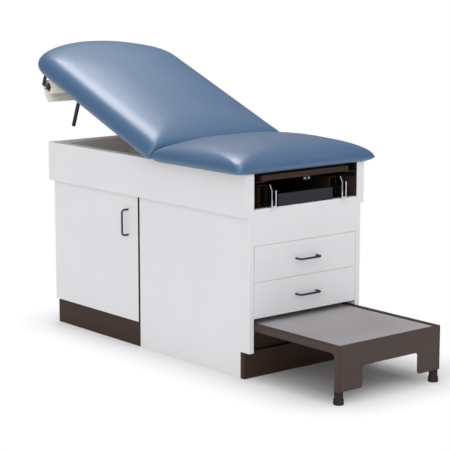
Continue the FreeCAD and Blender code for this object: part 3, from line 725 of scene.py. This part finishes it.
def gatherCover(mesh, tailX, low):
    # small pleats low down, where the cover is gathered round the two corners at the crease
    points, facing = readPoints(mesh), readPoints(mesh, "normal")
    onSide = np.abs(facing[:, 1]) > np.abs(facing[:, 0])
    half = np.abs(points[:, 1]).max()
    way = np.where(onSide, np.abs(points[:, 0] - tailX), half - np.abs(points[:, 1]))
    nearTail = np.abs(points[:, 0] - tailX) < padLook["gatherNear"]
    rise = np.clip((points[:, 2] - low) / padLook["gatherTop"], 0, 1)
    depth = sum(deep * np.exp(-((way - far - padLook["gatherLean"] * rise) / padLook["gatherWidth"]) ** 2)
                for far, deep in padLook["gathers"])
    depth *= nearTail * (1 - rise) ** padLook["gatherFade"]
    depth *= np.clip((points[:, 2] - low) / padLook["gatherFoot"], 0, 1)
    points[:, :2] -= facing[:, :2] * depth[:, None]
    writePoints(mesh, points)


def foldLip(mesh, endX, low):
    # spare cover at the front corners, pressed out as a lip over the staples
    points, facing = readPoints(mesh), readPoints(mesh, "normal")
    half = np.abs(points[:, 1]).max()
    away = np.hypot(points[:, 0] - endX, np.abs(points[:, 1]) - half)
    lip = padLook["foldOut"] * smoothStep(1 - away / padLook["foldReach"])
    lip *= np.exp(-((points[:, 2] - low - padLook["foldRise"]) / padLook["foldWidth"]) ** 2)
    points[:, :2] += facing[:, :2] * lip[:, None]
    writePoints(mesh, points)


def upholsteredPad(name, settings, place, way):
    # way is the direction from the crease to the pad's far end
    mesh = bareMesh(settings["node"], name)
    mesh.transform(place.inverted())
    if way < 0:
        closeSlots(mesh)
    piece = bpy.data.objects.new(name, mesh)
    scene.collection.objects.link(piece)
    remesh = piece.modifiers.new("evenGrid", "REMESH")
    remesh.mode = "VOXEL"
    remesh.voxel_size = padLook["voxel"]
    settle = piece.modifiers.new("settle", "SMOOTH")
    settle.factor = padLook["ironing"]
    settle.iterations = padLook["settle"]
    bakeModifiers(piece)
    points = readPoints(piece.data)
    low = points[:, 2].min()
    softenCrown(piece, low)
    ends = points[:, 0].min(), points[:, 0].max()
    tailX, endX = ends if way > 0 else ends[::-1]
    stuffPad(piece, low, tailX, settings["swell"])
    finer = piece.modifiers.new("finer", "SUBSURF")
    finer.levels = 1
    finer.render_levels = 1
    bakeModifiers(piece)
    squeezeCrease(piece.data, tailX, way, low)
    gatherCover(piece.data, tailX, low)
    if way > 0:
        foldLip(piece.data, endX, low)
    piece.data.transform(place)
    piece.data.shade_smooth()
    piece.data.materials.clear()
    dressPiece(piece, settings["body"], "vinyl", [settings["node"]])
    print(name, "stuffed,", len(piece.data.polygons), "faces")


upholsteredPad("seatPad", padLook["seat"], Matrix.Identity(4), 1)
upholsteredPad("backPad", padLook["back"], raiseBack, -1)


# Paper roll

rollLook = {
    "turns": 12,
    "perTurn": 48,
    "sheet": 0.55 * mm,
    "across": 12,
    "tailDrop": 63.5 * mm,
    "tailSteps": 40,
    "leaves": 95,            # degrees round the roll, here and below
    "liftOver": 80,
    "dropsFrom": 205,
    "ends": 270,
    "standsOff": 0.27,       # share of the slack
}


def woundPaper():
    # one long strip: wound from the core outwards, then standing off the roll and curling in below it
    coreLow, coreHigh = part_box("roll_core")
    low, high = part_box("paper_roll")
    middle = (coreLow + coreHigh) / 2
    inner = (coreHigh.x - coreLow.x) / 2 + rollLook["sheet"]
    outer = high.x - middle.x - rollLook["sheet"]
    steps = rollLook["turns"] * rollLook["perTurn"]
    path = []
    for i in range(steps + 1):
        angle = math.radians(rollLook["leaves"] - 360 * rollLook["turns"] * (1 - i / steps))
        radius = inner + (outer - inner) * i / steps
        path.append((middle.x + radius * math.cos(angle), middle.z + radius * math.sin(angle)))
    for i in range(1, rollLook["tailSteps"] + 1):
        turn = rollLook["leaves"] + (rollLook["ends"] - rollLook["leaves"]) * i / rollLook["tailSteps"]
        lift = smoothStep((turn - rollLook["leaves"]) / rollLook["liftOver"])
        fall = max(0.0, (turn - rollLook["dropsFrom"]) / (rollLook["ends"] - rollLook["dropsFrom"]))
        share = rollLook["standsOff"] * lift + (1 - rollLook["standsOff"]) * fall ** 2
        radius = outer + (rollLook["tailDrop"] - outer) * share
        path.append((middle.x + radius * math.cos(math.radians(turn)),
                     middle.z + radius * math.sin(math.radians(turn))))
    bm = bmesh.new()
    rows = []
    for x, z in path:
        rows.append([bm.verts.new((x, low.y + (high.y - low.y) * j / rollLook["across"], z))
                     for j in range(rollLook["across"] + 1)])
    for first, second in zip(rows, rows[1:]):
        for j in range(rollLook["across"]):
            bm.faces.new((first[j], second[j], second[j + 1], first[j + 1]))
    mesh = bpy.data.meshes.new("woundPaper")
    bm.to_mesh(mesh)
    bm.free()
    piece = addPiece("woundPaper", mesh, "paper_roll", "paper", ["paper_roll"])
    mesh.shade_smooth()
    sheet = piece.modifiers.new("sheet", "SOLIDIFY")
    sheet.thickness = rollLook["sheet"]
    sheet.offset = 0.0


woundPaper()
print("paper wound")


# Fixings, set out by node trees

screwLook = {"headRadius": 4.2 * mm, "headHeight": 2.2 * mm, "slotWidth": 1.2 * mm}
crossReach = 1.2             # length of a cross recess, in head radii
stapleLook = {"crown": 10 * mm, "wire": 0.8 * mm, "spacing": 38 * mm}
stapleSway = 0.25            # radians either way
fixingSeed = 7


def startTree(name, sizes):
    # one named input for each size
    tree = bpy.data.node_groups.new(name, "GeometryNodeTree")
    tree.interface.new_socket("Geometry", in_out="INPUT", socket_type="NodeSocketGeometry")
    for size in sizes:
        tree.interface.new_socket(size, in_out="INPUT", socket_type="NodeSocketFloat")
    tree.interface.new_socket("Geometry", in_out="OUTPUT", socket_type="NodeSocketGeometry")
    return tree, addNode(tree, "NodeGroupInput").outputs


def setOut(tree, points, shape, aim, sway):
    # one shape at each point, turned along aim and then swayed about its own axis
    chance = addNode(tree, "FunctionNodeRandomValue",
                     {2: -sway, 3: sway, "Seed": fixingSeed}, data_type="FLOAT")
    spin = addNode(tree, "FunctionNodeAxisAngleToRotation",
                   {"Axis": (0.0, 0.0, 1.0), "Angle": chance.outputs[1]})
    turn = addNode(tree, "FunctionNodeRotateRotation", {"Rotation": aim, "Rotate By": spin.outputs[0]},
                   rotation_space="LOCAL")
    placed = addNode(tree, "GeometryNodeInstanceOnPoints",
                     {"Points": points, "Instance": shape, "Rotation": turn.outputs[0]})
    plain = addNode(tree, "GeometryNodeRealizeInstances", {"Geometry": placed.outputs[0]})
    dressed = addNode(tree, "GeometryNodeSetMaterial",
                      {"Geometry": plain.outputs[0], "Material": finishes["zinc_steel"]})
    addNode(tree, "NodeGroupOutput", {"Geometry": dressed.outputs[0]})


def screwTree():
    # round heads with a cross recess
    tree, given = startTree("screws", screwLook)
    ball = addNode(tree, "GeometryNodeMeshUVSphere", {"Segments": 16, "Rings": 8, "Radius": 1.0})
    size = addNode(tree, "ShaderNodeCombineXYZ",
                   {"X": given["headRadius"], "Y": given["headRadius"], "Z": given["headHeight"]})
    dome = addNode(tree, "GeometryNodeTransform",
                   {"Geometry": ball.outputs["Mesh"], "Scale": size.outputs[0]})
    reach = addNode(tree, "ShaderNodeMath", {0: given["headRadius"], 1: crossReach}, operation="MULTIPLY")
    barSize = addNode(tree, "ShaderNodeCombineXYZ",
                      {"X": reach.outputs[0], "Y": given["slotWidth"], "Z": given["headHeight"]})
    bar = addNode(tree, "GeometryNodeMeshCube", {"Size": barSize.outputs[0]})
    top = addNode(tree, "ShaderNodeCombineXYZ", {"Z": given["headHeight"]})
    head = addNode(tree, "GeometryNodeMeshBoolean", {"Mesh 1": dome.outputs[0]}, operation="DIFFERENCE")
    for turned in (0.0, math.pi / 2):
        arm = addNode(tree, "GeometryNodeTransform",
                      {"Geometry": bar.outputs["Mesh"], "Translation": top.outputs[0],
                       "Rotation": (0.0, 0.0, turned)})
        tree.links.new(arm.outputs[0], head.inputs["Mesh 2"])
    facing = addNode(tree, "GeometryNodeInputNamedAttribute", {"Name": "facing"}, data_type="FLOAT_VECTOR")
    aim = addNode(tree, "FunctionNodeAlignRotationToVector",
                  {"Vector": facing.outputs["Attribute"]}, axis="Z")
    setOut(tree, given["Geometry"], head.outputs["Mesh"], aim.outputs[0], math.pi / 2)
    return tree


def stapleTree():
    # flat crowns in a row along a path, none quite straight
    tree, given = startTree("staples", stapleLook)
    row = addNode(tree, "GeometryNodeMeshToCurve", {"Mesh": given["Geometry"]})
    even = addNode(tree, "GeometryNodeResampleCurve",
                   {"Curve": row.outputs["Curve"], "Length": given["spacing"]},
                   mode="LENGTH")
    size = addNode(tree, "ShaderNodeCombineXYZ",
                   {"X": given["crown"], "Y": given["wire"], "Z": given["wire"]})
    crown = addNode(tree, "GeometryNodeMeshCube", {"Size": size.outputs[0]})
    along = addNode(tree, "GeometryNodeInputTangent")
    aim = addNode(tree, "FunctionNodeAlignRotationToVector",
                  {"Vector": along.outputs[0]}, axis="X", pivot_axis="Z")
    setOut(tree, even.outputs["Curve"], crown.outputs["Mesh"], aim.outputs[0], stapleSway)
    return tree


def growMesh(name, source, tree, sizes):
    # runs a tree once on a mesh and keeps the plain result
    carrier = bpy.data.objects.new(name, source)
    scene.collection.objects.link(carrier)
    modifier = carrier.modifiers.new(name, "NODES")
    modifier.node_group = tree
    for item in tree.interface.items_tree:
        if item.name in sizes:
            modifier[item.identifier] = sizes[item.name]
    mesh = evaluatedMesh(carrier)
    bpy.data.objects.remove(carrier)
    return mesh


def flatBox(nodeName):
    # a backrest node's box with the backrest laid flat
    points = [layFlat @ v.co for v in nodes[nodeName].data.vertices]
    return tuple(Vector([pick(p[i] for p in points) for i in range(3)]) for pick in (min, max))


# how far in from the edges of what they hold the screws stand
screwInset = {
    "forkAlong": (12 * mm, 44 * mm),
    "forkAcross": (8 * mm, 28 * mm),
    "leverAlong": 7 * mm,
    "rollAlong": (8 * mm, 32 * mm),
    "rollAcross": 14 * mm,
    "springTop": 5.5 * mm,
    "springBase": (5 * mm, 6 * mm),
    "flange": 3 * mm,
    "earAcross": (7 * mm, 41 * mm),
    "earUp": (12 * mm, 50 * mm),
    "earFlange": 4 * mm,
    "frameAcross": 8 * mm,
    "leafAcross": 5 * mm,
    "leafUp": (10 * mm, 50 * mm),
    "leafThick": 2 * mm,
    "pullEnd": 4 * mm,
    "catchAcross": (8 * mm, 28 * mm),
    "catchUp": 7 * mm,
}


def screwSpots():
    # where the hardware is screwed on, and the way each head faces, by body
    down, toHead, toFoot, inward = (Vector(v) for v in ((0, 0, -1), (-1, 0, 0), (1, 0, 0), (0, 1, 0)))
    inset = screwInset
    sides = (-1, 1)
    low, high = flatBox("hinge_forks")
    flat = [(low.x + x, side * (high.y - y), low.z)
            for side in sides for x in inset["forkAlong"] for y in inset["forkAcross"]]
    low, high = flatBox("lever_bracket")
    flat += [(x, (low.y + high.y) / 2, high.z - inset["flange"])
             for x in (low.x + inset["leverAlong"], high.x - inset["leverAlong"])]
    low, high = flatBox("roll_brackets")
    flat += [(low.x + x, side * (high.y - inset["rollAcross"]), high.z - inset["flange"])
             for side in sides for x in inset["rollAlong"]]
    low, high = flatBox("spring_top_bracket")
    flat += [(x, 0, high.z - inset["flange"])
             for x in (low.x + inset["springTop"], high.x - inset["springTop"])]
    spots = {"backrest": [(raiseBack @ Vector(p), raiseBack.to_3x3() @ down) for p in flat]}
    low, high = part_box("hinge_ears")
    cabinet = [(high.x - inset["earFlange"], side * (high.y - y), low.z + z)
               for side in sides for y in inset["earAcross"] for z in inset["earUp"]]
    low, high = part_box("spring_base")
    across, up = inset["springBase"]
    cabinet += [(high.x - inset["flange"], y, z)
                for y in (low.y + across, high.y - across) for z in (low.z + up, high.z - up)]
    low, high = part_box("door_hinge_frames")
    outer, inner = inset["leafUp"]
    cabinet += [(high.x - inset["leafThick"], high.y - inset["frameAcross"], z)
                for z in (low.z + outer, low.z + inner, high.z - inner, high.z - outer)]
    spots["cabinet"] = [(Vector(p), toHead) for p in cabinet]
    low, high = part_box("door_hinge_leaves")
    leaf = [(high.x - inset["leafThick"], low.y + inset["leafAcross"], z)
            for z in (low.z + outer, high.z - outer)]
    spots["door"] = [(Vector(p), toHead) for p in leaf]
    low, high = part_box("door_handle")
    feet = [((low.x + high.x) / 2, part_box("door_panel")[1].y, z)
            for z in (low.z + inset["pullEnd"], high.z - inset["pullEnd"])]
    spots["door"] += [(Vector(p), inward) for p in feet]
    low, high = catchBox()
    spots["leg_rest"] = [(Vector((high.x, low.y + y, low.z + inset["catchUp"])), toFoot)
                         for y in inset["catchAcross"]]
    return spots


catchLook = {"setBack": 4 * mm, "thick": 3 * mm, "left": -10 * mm, "right": 26 * mm, "drop": 15 * mm,
             "ease": 0.8 * mm, "segments": 2}


def catchBox():
    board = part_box("leg_rest_board")
    front = board[1].x - catchLook["setBack"]
    under = board[0].z
    return (Vector((front - catchLook["thick"], catchLook["left"], under - catchLook["drop"])),
            Vector((front, catchLook["right"], under)))


def legRestCatch():
    # small plastic plate under the board's front edge
    low, high = catchBox()
    bm = bmesh.new()
    place = Matrix.Translation((low + high) / 2) @ Matrix.Diagonal((*(high - low), 1))
    bmesh.ops.create_cube(bm, size=1.0, matrix=place)
    mesh = bpy.data.meshes.new("legRestCatch")
    bm.to_mesh(mesh)
    bm.free()
    piece = addPiece("legRestCatch", mesh, "leg_rest", "tray_plastic")
    easeEdges(piece, catchLook["ease"], catchLook["segments"])


def driveScrews():
    tree = screwTree()
    for body, spots in screwSpots().items():
        name = camelName(body + "_screws")
        points = bpy.data.meshes.new(name + "Points")
        points.from_pydata([p for p, way in spots], [], [])
        facing = points.attributes.new("facing", "FLOAT_VECTOR", "POINT")
        facing.data.foreach_set("vector", [c for p, way in spots for c in way])
        addPiece(name, growMesh(name, points, tree, screwLook), body, "zinc_steel")
        print(name, len(spots))


flapLook = {
    "reach": 26 * mm,
    "tuck": 15 * mm,
    "bulge": 1.6 * mm,
    "thick": 1.2 * mm,
    "off": 0.05 * mm,        # the flap just clears the deck
    "step": 9 * mm,
    "wave": 3 * mm,
    "waveOver": 60 * mm,
    "ragged": 0.4,           # share of the wave that is chance
    "seed": 3,
    "stapleDrop": 1.35 * mm,
}


def coverFlap():
    # the cover brought round under the backrest and stapled to its deck
    points = [layFlat @ v.co for v in nodes["back_deck"].data.vertices]
    under = min(p.z for p in points)
    rim = np.array([(p.x, p.y) for p in points if p.z < under + inPlane])
    rim = np.unique(rim.round(6), axis=0)
    middle = (rim.min(axis=0) + rim.max(axis=0)) / 2
    rim = rim[np.argsort(np.arctan2(*(rim - middle).T[::-1]))]
    rim = np.vstack([rim, rim[:1]])
    way = np.concatenate([[0], np.cumsum(np.linalg.norm(np.diff(rim, axis=0), axis=1))])
    count = int(way[-1] / flapLook["step"])
    at = np.arange(count) * way[-1] / count
    path = np.stack([np.interp(at, way, rim[:, i]) for i in (0, 1)], axis=1)
    along = np.roll(path, -1, axis=0) - np.roll(path, 1, axis=0)
    out = np.stack([along[:, 1], -along[:, 0]], axis=1) / np.linalg.norm(along, axis=1)[:, None]
    chance = np.random.default_rng(flapLook["seed"])
    ragged = chance.uniform(-flapLook["ragged"], flapLook["ragged"], count)
    reach = flapLook["reach"] + flapLook["wave"] * (np.sin(at / flapLook["waveOver"]) + ragged)
    tuck = np.full(count, flapLook["tuck"])
    levels = [(tuck, flapLook["off"]), (tuck, flapLook["thick"] / 2), (np.zeros(count), flapLook["bulge"]),
              (-reach, flapLook["thick"]), (-reach, flapLook["off"])]
    bm = bmesh.new()
    rows = [[bm.verts.new((*(p + n * s), under - drop)) for p, n, s in zip(path, out, shift)]
            for shift, drop in levels]
    for first, second in zip(rows, rows[1:] + rows[:1]):
        for i in range(count):
            bm.faces.new((first[i], first[i - 1], second[i - 1], second[i]))
    bmesh.ops.recalc_face_normals(bm, faces=bm.faces)
    mesh = bpy.data.meshes.new("coverFlap")
    bm.to_mesh(mesh)
    bm.free()
    mesh.transform(raiseBack)
    mesh.shade_smooth()
    addPiece("coverFlap", mesh, "backrest", "vinyl")
    line = bpy.data.meshes.new("stapleLine")
    stapled = path - out * flapLook["reach"] / 2
    links = [(i - 1, i) for i in range(1, count)] + [(count - 1, 0)]
    line.from_pydata([(*p, under - flapLook["stapleDrop"]) for p in stapled], links, [])
    staples = growMesh("deckStaples", line, stapleTree(), stapleLook)
    staples.transform(raiseBack)
    addPiece("deckStaples", staples, "backrest", "zinc_steel")


legRestCatch()
driveScrews()
coverFlap()
print("fixings set out")


# Camera, light and floor

cameraLook = {"lens": 131.116, "azimuth": 50.362, "elevation": 9.913, "distance": 6.440,
              "target": (0.1616, 0.0, 0.4845), "sensor": 36.0, "clipEnd": 200.0}


def placeCamera():
    camera = bpy.data.objects.new("camera", bpy.data.cameras.new("camera"))
    scene.collection.objects.link(camera)
    camera.data.lens = cameraLook["lens"]
    camera.data.sensor_width = cameraLook["sensor"]
    camera.data.clip_end = cameraLook["clipEnd"]
    azimuth, elevation = (math.radians(cameraLook[k]) for k in ("azimuth", "elevation"))
    back = Vector((math.sin(azimuth) * math.cos(elevation), -math.cos(azimuth) * math.cos(elevation),
                   math.sin(elevation)))
    camera.location = Vector(cameraLook["target"]) + back * cameraLook["distance"]
    camera.rotation_euler = back.to_track_quat("Z", "Y").to_euler()
    scene.camera = camera


placeCamera()

studio = {
    "fill": 0.29,            # even sky over the object
    "soft": 2.6,             # broad soft light on the door and foot sides
    "softFrom": (0.7, -0.62, 0.5),
    "softFall": 6.0,         # higher is narrower
    "lamps": {
        "overHead": {"place": (-1.6, 0.84, 3.9), "aim": (0.0, 0.0, 0.8), "size": 1.3, "power": 66.0},
        "overFoot": {"place": (0.85, -0.15, 3.5), "aim": (0.6, -0.1, 0.85), "size": 0.9, "power": 20.0},
    },
    "floorSeen": 0.75,       # floor's white as the camera takes it, below floorDiffuse: painted shade round the table
    "floorDiffuse": 0.9,
    "shadeMiddle": (0.2, 0.06, 0.0),
    "shadeHalf": (0.72, 0.2, 0.0),
    "shadeReach": 0.38,      # shadows and the painted shade end this far round that patch
    "floorReach": 80.0,
}


def seenRay(tree):
    path = addNode(tree, "ShaderNodeLightPath")
    return addNode(tree, "ShaderNodeMath",
                   {0: path.outputs["Is Camera Ray"], 1: path.outputs["Is Transmission Ray"]},
                   operation="MAXIMUM").outputs[0]


def lightStudio():
    # white where it is seen; for lighting, brighter on the door and foot sides
    world = bpy.data.worlds.new("studio")
    scene.world = world
    world.use_nodes = True
    tree = world.node_tree
    tree.nodes.clear()
    way = addNode(tree, "ShaderNodeTexCoord").outputs["Generated"]
    facing = addNode(tree, "ShaderNodeVectorMath", {0: way, 1: Vector(studio["softFrom"]).normalized()},
                     operation="DOT_PRODUCT")
    lit = addNode(tree, "ShaderNodeMath", {0: facing.outputs["Value"], 1: 0.0}, operation="MAXIMUM")
    falls = addNode(tree, "ShaderNodeMath", {0: lit.outputs[0], 1: studio["softFall"]}, operation="POWER")
    soft = addNode(tree, "ShaderNodeMath", {0: falls.outputs[0], 1: studio["soft"], 2: studio["fill"]},
                   operation="MULTIPLY_ADD")
    level = addNode(tree, "ShaderNodeMapRange",
                    {"Value": seenRay(tree), "To Min": soft.outputs[0], "To Max": 1.0})
    sky = addNode(tree, "ShaderNodeBackground", {"Color": (1, 1, 1, 1), "Strength": level.outputs[0]})
    addNode(tree, "ShaderNodeOutputWorld", {"Surface": sky.outputs[0]})
    for name, look in studio["lamps"].items():
        lamp = bpy.data.lights.new(name, "AREA")
        lamp.size = look["size"]
        lamp.energy = look["power"]
        holder = bpy.data.objects.new(name, lamp)
        scene.collection.objects.link(holder)
        holder.location = look["place"]
        back = Vector(look["place"]) - Vector(look["aim"])
        holder.rotation_euler = back.to_track_quat("Z", "Y").to_euler()


def layFloor():
    # pale paper sweep: takes the table's shadow near it, with painted shade where the camera sees it darker
    # than it lights, and is clear white further off
    material = bpy.data.materials.new("paperSweep")
    material.use_nodes = True
    tree = material.node_tree
    tree.nodes.clear()
    # painted shade: near the table the camera sees the floor darker than the floor that lights the table
    tone = addNode(tree, "ShaderNodeMapRange",
                   {"Value": seenRay(tree), "To Min": studio["floorDiffuse"], "To Max": studio["floorSeen"]})
    paper = addNode(tree, "ShaderNodeBsdfDiffuse", {"Color": tone.outputs[0]})
    clear = addNode(tree, "ShaderNodeEmission", {"Color": (1, 1, 1, 1), "Strength": 1.0})
    # patch round the table that holds the shadow and the painted shade, faded out to clear white
    where = addNode(tree, "ShaderNodeTexCoord").outputs["Object"]
    shift = addNode(tree, "ShaderNodeVectorMath",
                    {0: where, 1: studio["shadeMiddle"]}, operation="SUBTRACT")
    across = addNode(tree, "ShaderNodeVectorMath", {0: shift.outputs[0]}, operation="ABSOLUTE")
    past = addNode(tree, "ShaderNodeVectorMath",
                   {0: across.outputs[0], 1: studio["shadeHalf"]}, operation="SUBTRACT")
    beyond = addNode(tree, "ShaderNodeVectorMath",
                     {0: past.outputs[0], 1: (0.0, 0.0, 0.0)}, operation="MAXIMUM")
    away = addNode(tree, "ShaderNodeVectorMath", {0: beyond.outputs[0]}, operation="LENGTH")
    fade = addNode(tree, "ShaderNodeMapRange",
                   {"Value": away.outputs["Value"], "From Max": studio["shadeReach"]},
                   interpolation_type="SMOOTHSTEP")
    mix = addNode(tree, "ShaderNodeMixShader",
                  {0: fade.outputs[0], 1: paper.outputs[0], 2: clear.outputs[0]})
    addNode(tree, "ShaderNodeOutputMaterial", {"Surface": mix.outputs[0]})
    mesh = bpy.data.meshes.new("floor")
    reach = studio["floorReach"]
    mesh.from_pydata([(-reach, -reach, 0), (reach, -reach, 0), (reach, reach, 0), (-reach, reach, 0)], [],
                     [(0, 1, 2, 3)])
    mesh.materials.append(material)
    floor = bpy.data.objects.new("floor", mesh)
    scene.collection.objects.link(floor)


lightStudio()
layFloor()
scene.view_settings.view_transform = "Standard"
print("studio set")
